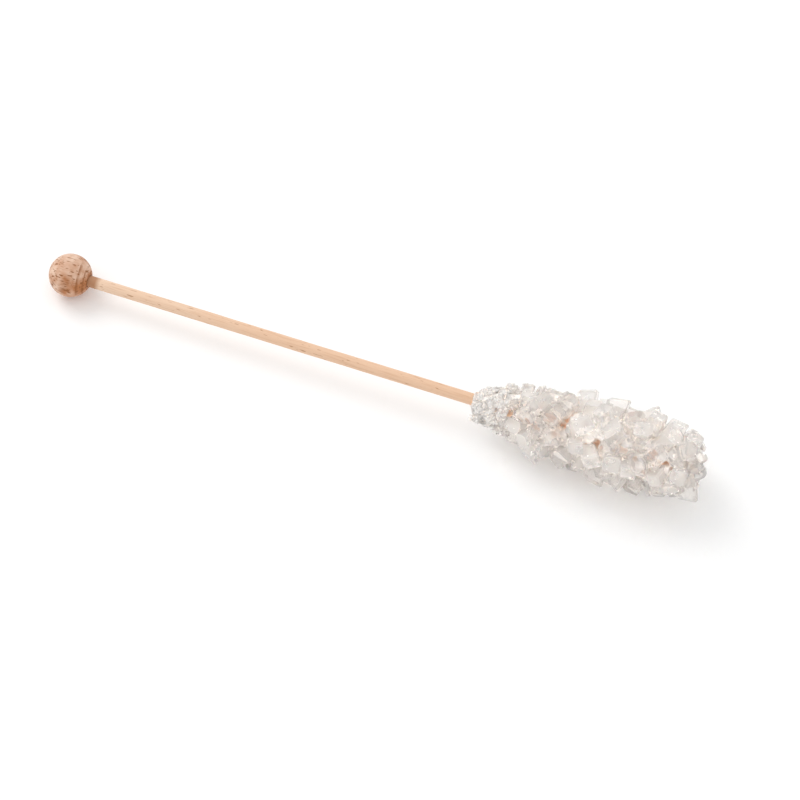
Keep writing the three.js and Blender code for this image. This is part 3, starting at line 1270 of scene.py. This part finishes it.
@dataclass
class SugarCluster:
    """Rock sugar grown round the end of the dowel.

    Attributes:
        axis: The dowel's frame.
        form: Its overall form.
        heart: Its heart.
        seed: Of its random numbers.
        tip_seed: Of those of the crystals at the far end.
        cloud_seed: Of those that choose the milky crystals.
        lump_seed: Of those of the grains on the lumps.
        slant: Sideways shift of a block for each mm of height.
        block_width: Least and most width of a large block, as a share of its length.
        block_height: Its least and most height.
        block_rim: Least and most bevel round its outer face, as a share of its width.
        block_corner: Least and added cut off an upright edge, as a share of its width.
        fine_bevel: The rounding of every edge of a large crystal.
        terrace_face: A face wider than this share of the length may have a terrace.
        terrace_share: Share of those faces that have one.
        terrace_margin: Least and most width of its step, as a share of the length.
        terrace_rise: Least and most height of its step.
        milky_share: Share of the large crystals that are milky.
        most_lean: Of a large crystal, in degrees.
        fillers: Places for crystals between the leading ones.
        filler_shares: The first place and the span of all, as shares of the length.
        filler_depth: Least and most reach of a filler, as a share of the outline.
        filler_room: How near a filler may come to a leading crystal, times their mean size.
        golden_angle: Between one place and the next, in degrees.
        small_until: Share of the length where small fillers give way to large ones.
        small_filler: Least and most size of a small filler.
        large_filler: Least and most size of a large one.
        foot_depth: How much a crystal that stands on the table is worn flat.
        floor_clearance: Under all the others.
        least_dip: A crystal beside the axis is drawn in as if it pointed down by this share.
        small_width: Least and most width of a small block, as a share of its length.
        small_height: Its least and most height.
        small_corner: Cut off each of its upright edges, as a share of its length.
        small_lean: Its most lean either way, in degrees.
        stray: Most stray of its place round the dowel, in degrees.
        lump_size: Leading crystals under this size are lumps with grains all over them.
        lumps_end: How far along the dowel the lumps reach.
        grains_per_lump: On each of them.
        grain: Least and most size of those grains.
        grain_reach: Their distance from a lump's centre, as a share of its size.
    """

    axis: StickAxis
    form: Spindle = field(default_factory=Spindle)
    heart: SugarHeart = field(default_factory=SugarHeart)
    seed: int = 14
    tip_seed: int = 29
    cloud_seed: int = 5
    lump_seed: int = 71
    slant: float = math.tan(math.radians(13))
    block_width: tuple[float, float] = (0.8, 1.0)
    block_height: tuple[float, float] = (0.9, 1.15)
    block_rim: tuple[float, float] = (0.06, 0.13)
    block_corner: tuple[float, float] = (0.08, 0.22)
    fine_bevel: float = 0.06
    terrace_face: float = 0.45
    terrace_share: float = 0.5
    terrace_margin: tuple[float, float] = (0.07, 0.2)
    terrace_rise: tuple[float, float] = (-0.03, 0.035)
    milky_share: float = 0.45
    most_lean: float = 38.0
    fillers: int = 116
    filler_shares: tuple[float, float] = (0.03, 0.89)
    filler_depth: tuple[float, float] = (0.82, 0.94)
    filler_room: float = 0.62
    golden_angle: float = 137.5
    small_until: float = 0.2
    small_filler: tuple[float, float] = (1.8, 2.8)
    large_filler: tuple[float, float] = (3.3, 5.2)
    foot_depth: float = 0.25
    floor_clearance: float = 0.2
    least_dip: float = 0.3
    small_width: tuple[float, float] = (0.6, 1.0)
    small_height: tuple[float, float] = (0.6, 1.1)
    small_corner: float = 0.16
    small_lean: float = 60.0
    stray: float = 20.0
    lump_size: float = 3.25
    lumps_end: float = 130.0
    grains_per_lump: int = 40
    grain: tuple[float, float] = (0.3, 0.75)
    grain_reach: tuple[float, float] = (0.5, 0.66)

    def block(self, size: float, leading: bool, draws: Draws) -> bmesh.types.BMesh:
        """Makes one block of sugar about its own centre.

        Its four upright edges are cut off by different amounts, and a leading one has a bevel
        round its outer face. Then the whole block is slanted.

        Args:
            size: Its length.
            leading: Whether it is one of those that give the outline.
            draws: The numbers that set its shape.

        Returns:
            The block's closed shell.
        """
        width = size * draws.between(*self.block_width)
        height = size * draws.between(*self.block_height)
        rim = draws.between(*self.block_rim) * width
        least_cut, added_cut = self.block_corner
        bm = bmesh.new()
        bmesh.ops.create_cube(bm, size=1, matrix=Matrix.Diagonal((size, width, height, 1)))
        for side_x, side_y in ((1, 1), (-1, 1), (-1, -1), (1, -1)):
            cut = (least_cut + added_cut * draws.share() ** 2) * width
            corner = Vector((side_x * size / 2, side_y * width / 2))
            upright = [
                e for e in bm.edges if all((v.co.xy - corner).length < TOUCHING for v in e.verts)
            ]
            bevel(bm, upright, cut)
        if leading:
            top = [e for e in bm.edges if all(v.co.z > height / 2 - TOUCHING for v in e.verts)]
            bevel(bm, top, rim)
        bmesh.ops.transform(bm, matrix=self.shear(), verts=bm.verts)
        return bm

    def shear(self) -> Matrix:
        """Returns the slant that sucrose crystals have."""
        slanted = Matrix.Identity(4)
        slanted[0][2] = self.slant
        return slanted

    def lowest(self, bm: bmesh.types.BMesh, place: Matrix) -> float:
        """Returns the height above the table of a block's lowest corner at a place."""
        return min(self.axis.height(place @ v.co) for v in bm.verts)

    def set_crystal(
        self, crystal: Crystal, leading: bool, draws: Draws, clearance: float
    ) -> bmesh.types.BMesh:
        """Makes a crystal at its place, drawn in where it would go through the table.

        Args:
            crystal: The crystal.
            leading: Whether it is one of those that give the outline.
            draws: The numbers that set its shape.
            clearance: The least height of its lowest corner.

        Returns:
            The crystal's closed shell, in the dowel's frame.
        """
        bm = self.block(crystal.size, leading, draws)
        place = crystal.place()
        excess = clearance - self.lowest(bm, place)
        if excess > 0:
            dip = -math.cos(math.radians(crystal.around))
            place = crystal.place(crystal.out - excess / max(dip, self.least_dip))
        self.grow_terraces(bm, crystal.size)
        bevel(bm, bm.edges[:], self.fine_bevel)
        bmesh.ops.dissolve_degenerate(bm, dist=1e-3, edges=bm.edges[:])
        bmesh.ops.transform(bm, matrix=place, verts=bm.verts)
        return bm

    def grow_terraces(self, bm: bmesh.types.BMesh, size: float) -> None:
        """Raises or sinks the middle of some faces, as a crystal's last layers of growth do.

        Args:
            bm: The block.
            size: Its length, which also seeds the numbers.
        """
        draws = Draws(round(size * 1e4))
        smallest_face = (self.terrace_face * size) ** 2
        broad = [f for f in bm.faces if f.calc_area() > smallest_face]
        # A bevel leaves faces in no fixed order, so they are put in one before the draws.
        broad.sort(key=lambda f: [round(place, 3) for place in f.calc_center_median()])
        for face in broad:
            margin = draws.between(*self.terrace_margin) * size
            rise = draws.between(*self.terrace_rise) * size
            if draws.share() < self.terrace_share:
                bmesh.ops.inset_region(bm, faces=[face], thickness=margin, depth=rise)

    def leading_and_feet(self) -> list[bmesh.types.BMesh]:
        """Makes the crystals that give the outline and those that the cluster stands on.

        Returns:
            The crystals, in the dowel's frame.
        """
        draws = Draws(self.seed + 1)
        made = [self.set_crystal(c, True, draws, self.floor_clearance) for c in LEADING_CRYSTALS]
        tip_draws = Draws(self.tip_seed)
        made += [self.set_crystal(c, True, tip_draws, self.floor_clearance) for c in TIP_CRYSTALS]
        for along, around, size in FEET:
            lean = draws.between(-self.most_lean, self.most_lean) / 2
            turn = draws.between(*QUARTER_TURN)
            foot = Crystal(along, around, self.form.radius, size, lean, turn)
            made.append(self.set_crystal(foot, True, draws, -self.foot_depth))
        return made

    def fillers_between(self) -> list[bmesh.types.BMesh]:
        """Makes the crystals between the leading ones.

        Returns:
            The crystals, in the dowel's frame.
        """
        draws = Draws(self.seed)
        leading = [(c.place().translation, c.size) for c in LEADING_CRYSTALS]
        first, span = self.filler_shares
        made = []
        for i in range(self.fillers):
            share = first + span * i / (self.fillers - 1)
            sizes = self.small_filler if share < self.small_until else self.large_filler
            size = draws.between(*sizes)
            crystal = Crystal(
                along=self.form.along(share),
                around=i * self.golden_angle,
                out=self.form.outline(share) * draws.between(*self.filler_depth) - size / 2,
                size=size,
                lean=draws.between(-self.most_lean, self.most_lean),
                turn=draws.between(*QUARTER_TURN),
            )
            centre = crystal.place().translation
            crowded = any(
                (centre - other).length < self.filler_room * (size + other_size) / 2
                for other, other_size in leading
            )
            if not crowded:
                made.append(self.set_crystal(crystal, False, draws, self.floor_clearance))
        return made

    def scattered(self, layer: Layer, skin: BVHTree) -> list[bmesh.types.BMesh]:
        """Scatters small blocks over the cluster's surface.

        Args:
            layer: Where and how many.
            skin: The surface that they sit on.

        Returns:
            The blocks, in the dowel's frame.
        """
        draws = Draws(layer.seed)
        first, last = layer.shares
        blocks = []
        for i in range(layer.count):
            share = first + (last - first) * (i + draws.share()) / layer.count
            along = self.form.along(share)
            around = i * self.golden_angle + draws.between(-self.stray, self.stray)
            size = draws.between(*layer.size)
            lean = draws.between(-self.small_lean, self.small_lean)
            turn = draws.between(*QUARTER_TURN)
            outwards = Matrix.Rotation(math.radians(around), 3, "X") @ Vector((0, 0, 1))
            axis_point = Vector((along, 0, 0))
            outside = axis_point + outwards * 2 * self.form.radius
            hit = skin.ray_cast(outside, -outwards)[0]
            if hit is None:
                continue
            out = (hit - axis_point).length
            if out < layer.only_below * self.form.outline(share):
                along += self.form.late_start(hit)
                place = Crystal(along, around, out - layer.sunk * size, size, lean, turn)
                blocks += self.small_block(place, draws)
        return blocks

    def encrusted(self) -> list[bmesh.types.BMesh]:
        """Sets fine grains all over the lumps where the sugar starts.

        Returns:
            The grains, in the dowel's frame.
        """
        draws = Draws(self.lump_seed)
        grains = []
        lumps = [c for c in LEADING_CRYSTALS if c.size < self.lump_size and c.along < self.lumps_end]
        for lump in lumps:
            centre = lump.place().translation
            for _ in range(self.grains_per_lump):
                facing = Vector([draws.between(-1, 1) for _ in range(3)]).normalized()
                spot = centre + facing * lump.size * draws.between(*self.grain_reach)
                grain = Crystal(
                    along=spot.x,
                    around=math.degrees(math.atan2(-spot.y, spot.z)),
                    out=math.hypot(spot.y, spot.z),
                    size=draws.between(*self.grain),
                    lean=draws.between(-self.small_lean, self.small_lean),
                    turn=draws.between(*QUARTER_TURN),
                )
                grains += self.small_block(grain, draws)
        return grains

    def small_block(self, crystal: Crystal, draws: Draws) -> list[bmesh.types.BMesh]:
        """Makes one plain block at its place.

        Args:
            crystal: The block's size and place.
            draws: The numbers that set its shape.

        Returns:
            The block alone, or nothing where it would be close to the table.
        """
        size = crystal.size
        width = size * draws.between(*self.small_width)
        height = size * draws.between(*self.small_height)
        place = crystal.place()
        if self.axis.height(place.translation) < size:
            return []
        bm = bmesh.new()
        bmesh.ops.create_cube(bm, size=1, matrix=Matrix.Diagonal((size, width, height, 1)))
        upright = [e for e in bm.edges if abs(e.verts[0].co.z - e.verts[1].co.z) > height / 2]
        bevel(bm, upright, self.small_corner * size)
        bmesh.ops.transform(bm, matrix=place @ self.shear(), verts=bm.verts)
        return [bm]

    def make(self, shop: Workshop) -> list[bpy.types.Object]:
        """Makes the cluster's pieces and dresses them.

        Args:
            shop: What turns their shapes into pieces.

        Returns:
            The pieces.
        """
        large = self.leading_and_feet() + self.fillers_between()
        clouding = Draws(self.cloud_seed)
        milky = {i for i in range(len(large)) if clouding.share() < self.milky_share}
        heart = self.heart.shape(self.form)
        whole = gathered([b.copy() for b in [*large, heart]])
        skin = BVHTree.FromBMesh(whole)
        whole.free()
        small = [b for layer in SMALL_LAYERS for b in self.scattered(layer, skin)]
        grains = [b for layer in GRAIN_LAYERS for b in self.scattered(layer, skin)]
        lots = (
            ("clear_crystals", Clarity.CLEAR, [b for i, b in enumerate(large) if i not in milky]),
            ("milky_crystals", Clarity.MILKY, [large[i] for i in sorted(milky)]),
            ("small_crystals", Clarity.SMALL, small),
            ("sugar_grains", Clarity.GRAIN, grains + self.encrusted()),
            ("sugar_heart", Clarity.HEART, [heart]),
        )
        pieces = []
        for name, clarity, blocks in lots:
            shape = gathered(blocks)
            self.axis.cut_at_table(shape)
            piece = shop.piece(name, shape, GrownSucrose(clarity).build(), "sugar")
            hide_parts("rock_sugar")
            pieces.append(piece)
        return pieces


# ---------------------------------------------------------------------------------------------
# Studio


@dataclass
class Studio:
    """A white table under soft light, and the camera.

    Attributes:
        aim: What the camera looks at, in millimetres from the part's origin.
        azimuth: Of the camera, in degrees.
        elevation: Of the camera, in degrees.
        distance: From the aim to the camera.
        lens: Focal length.
        sensor: Width of the camera's sensor.
        clip_start: The nearest that the camera sees, in metres.
        table_half: Half the table's side, in metres.
        air_strength: Of the even white light that fills the room.
        key_place: Where the key light hangs, in metres.
        key_size: Its side, in metres.
        key_watts: Its power.
        laminate: The table's finish.
    """

    aim: tuple[float, float, float] = (10.1, -6.1, 8.0)
    azimuth: float = 20.72
    elevation: float = 60.0
    distance: float = 700.0
    lens: float = 126.2
    sensor: float = 36.0
    clip_start: float = 0.01
    table_half: float = 1.5
    air_strength: float = 0.9
    key_place: tuple[float, float, float] = (-1.2, 0.6, 1.3)
    key_size: float = 1.1
    key_watts: float = 10.5
    laminate: WhiteLaminate = field(default_factory=WhiteLaminate)

    def camera(self) -> None:
        """Sets up the camera."""
        turn, lift = math.radians(self.azimuth), math.radians(self.elevation)
        back = Vector(
            (
                math.sin(turn) * math.cos(lift),
                -math.cos(turn) * math.cos(lift),
                math.sin(lift),
            )
        )
        data = bpy.data.cameras.new("camera")
        data.lens = self.lens
        data.sensor_width = self.sensor
        data.clip_start = self.clip_start
        camera = bpy.data.objects.new("camera", data)
        camera.location = (Vector(self.aim) + back * self.distance) * MM
        camera.rotation_euler = back.to_track_quat("Z", "Y").to_euler()
        bpy.context.scene.collection.objects.link(camera)
        bpy.context.scene.camera = camera

    def key_light(self) -> None:
        """Hangs a square soft light that points at the part."""
        data = bpy.data.lights.new("key", "AREA")
        data.shape = "SQUARE"
        data.size = self.key_size
        data.energy = self.key_watts
        light = bpy.data.objects.new("key", data)
        light.location = self.key_place
        light.rotation_euler = Vector(self.key_place).to_track_quat("Z", "Y").to_euler()
        bpy.context.scene.collection.objects.link(light)

    def table(self) -> None:
        """Lays the white table."""
        bm = bmesh.new()
        bmesh.ops.create_grid(bm, x_segments=1, y_segments=1, size=self.table_half)
        mesh = bpy.data.meshes.new("table")
        bm.to_mesh(mesh)
        bm.free()
        mesh.materials.append(self.laminate.build())
        table = bpy.data.objects.new("table", mesh)
        bpy.context.scene.collection.objects.link(table)

    def air(self) -> None:
        """Fills the room with even white light."""
        world = bpy.data.worlds.new("studio")
        world.use_nodes = True
        background = world.node_tree.nodes["Background"]
        background.inputs["Color"].default_value = (1, 1, 1, 1)
        background.inputs["Strength"].default_value = self.air_strength
        bpy.context.scene.world = world

    def make(self) -> None:
        """Sets up the studio."""
        self.camera()
        self.table()
        self.air()
        self.key_light()
        scene = bpy.context.scene
        scene.view_settings.view_transform = "Standard"
        # Light goes through many crystals, and is neither clamped nor blurred on its way.
        scene.cycles.max_bounces = 40
        scene.cycles.diffuse_bounces = 24
        scene.cycles.glossy_bounces = 40
        scene.cycles.transmission_bounces = 40
        scene.cycles.sample_clamp_indirect = 0.0
        scene.cycles.blur_glossy = 0.0


def main() -> None:
    """Builds the stick and its studio."""
    dowel = Dowel()
    axis = StickAxis.from_dowel(dowel.start)
    shop = Workshop(axis)
    Studio().make()
    WoodenBall().make(shop)
    dowel.make(shop)
    SugarCluster(axis).make(shop)


if __name__ == "__main__":
    logging.basicConfig(level=logging.INFO, format="%(name)s: %(message)s")
    main()
